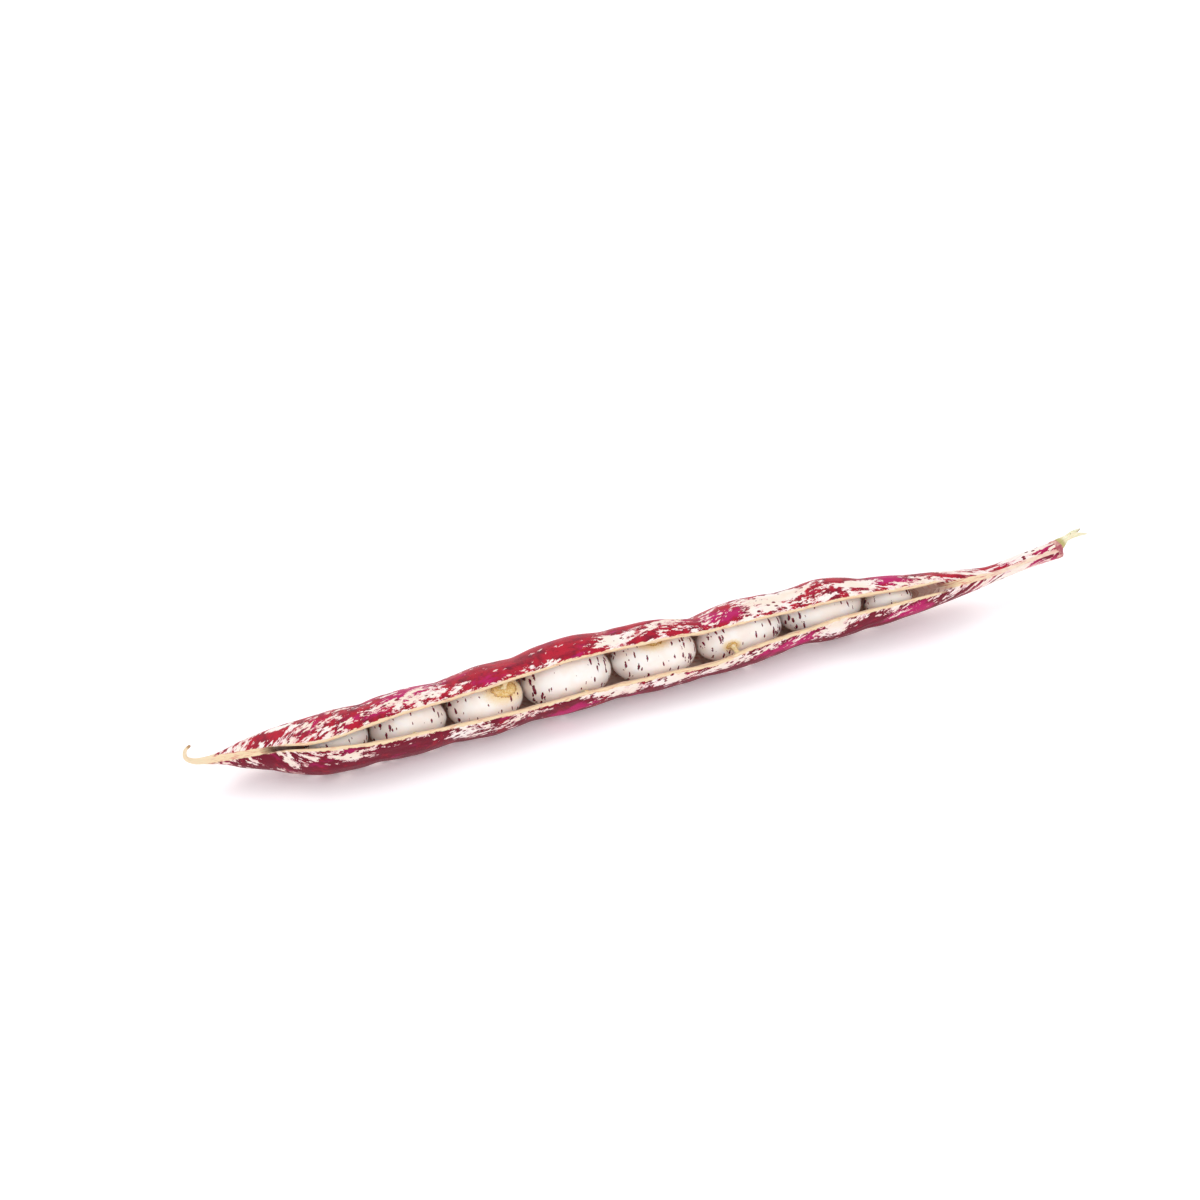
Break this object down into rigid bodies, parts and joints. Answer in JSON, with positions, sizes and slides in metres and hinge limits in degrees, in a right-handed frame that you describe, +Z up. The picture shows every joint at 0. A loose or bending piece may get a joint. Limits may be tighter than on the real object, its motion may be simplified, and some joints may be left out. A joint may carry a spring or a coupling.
{
  "type": "borlotti bean pod",
  "caption": "Fresh borlotti bean pod lying on its side, split along one seam so that the row of speckled seeds inside shows.",
  "frame": {"origin": "middle of the pod's footprint, on the surface it lies on", "axes": "+X along the pod from the beak to the stem, +Z up, the split facing -Y and upward"},
  "size_m": [0.1618, 0.0152, 0.012],
  "materials": {
    "pod_skin": "fresh plant skin, cream-white flamed with crimson and magenta, soft waxy sheen",
    "seed_coat": "smooth moist seed coat, cream-white speckled with dark burgundy",
    "dry_stem": "pale straw-green fibre, matte"
  },
  "bodies": {
    "root": {"pod": "pod_skin", "bean_1": "seed_coat", "bean_2": "seed_coat", "bean_3": "seed_coat", "bean_4": "seed_coat", "bean_5": "seed_coat", "bean_6": "seed_coat", "bean_7": "seed_coat", "bean_8": "seed_coat", "calyx": "dry_stem", "stem": "dry_stem"}
  },
  "joints": []
}
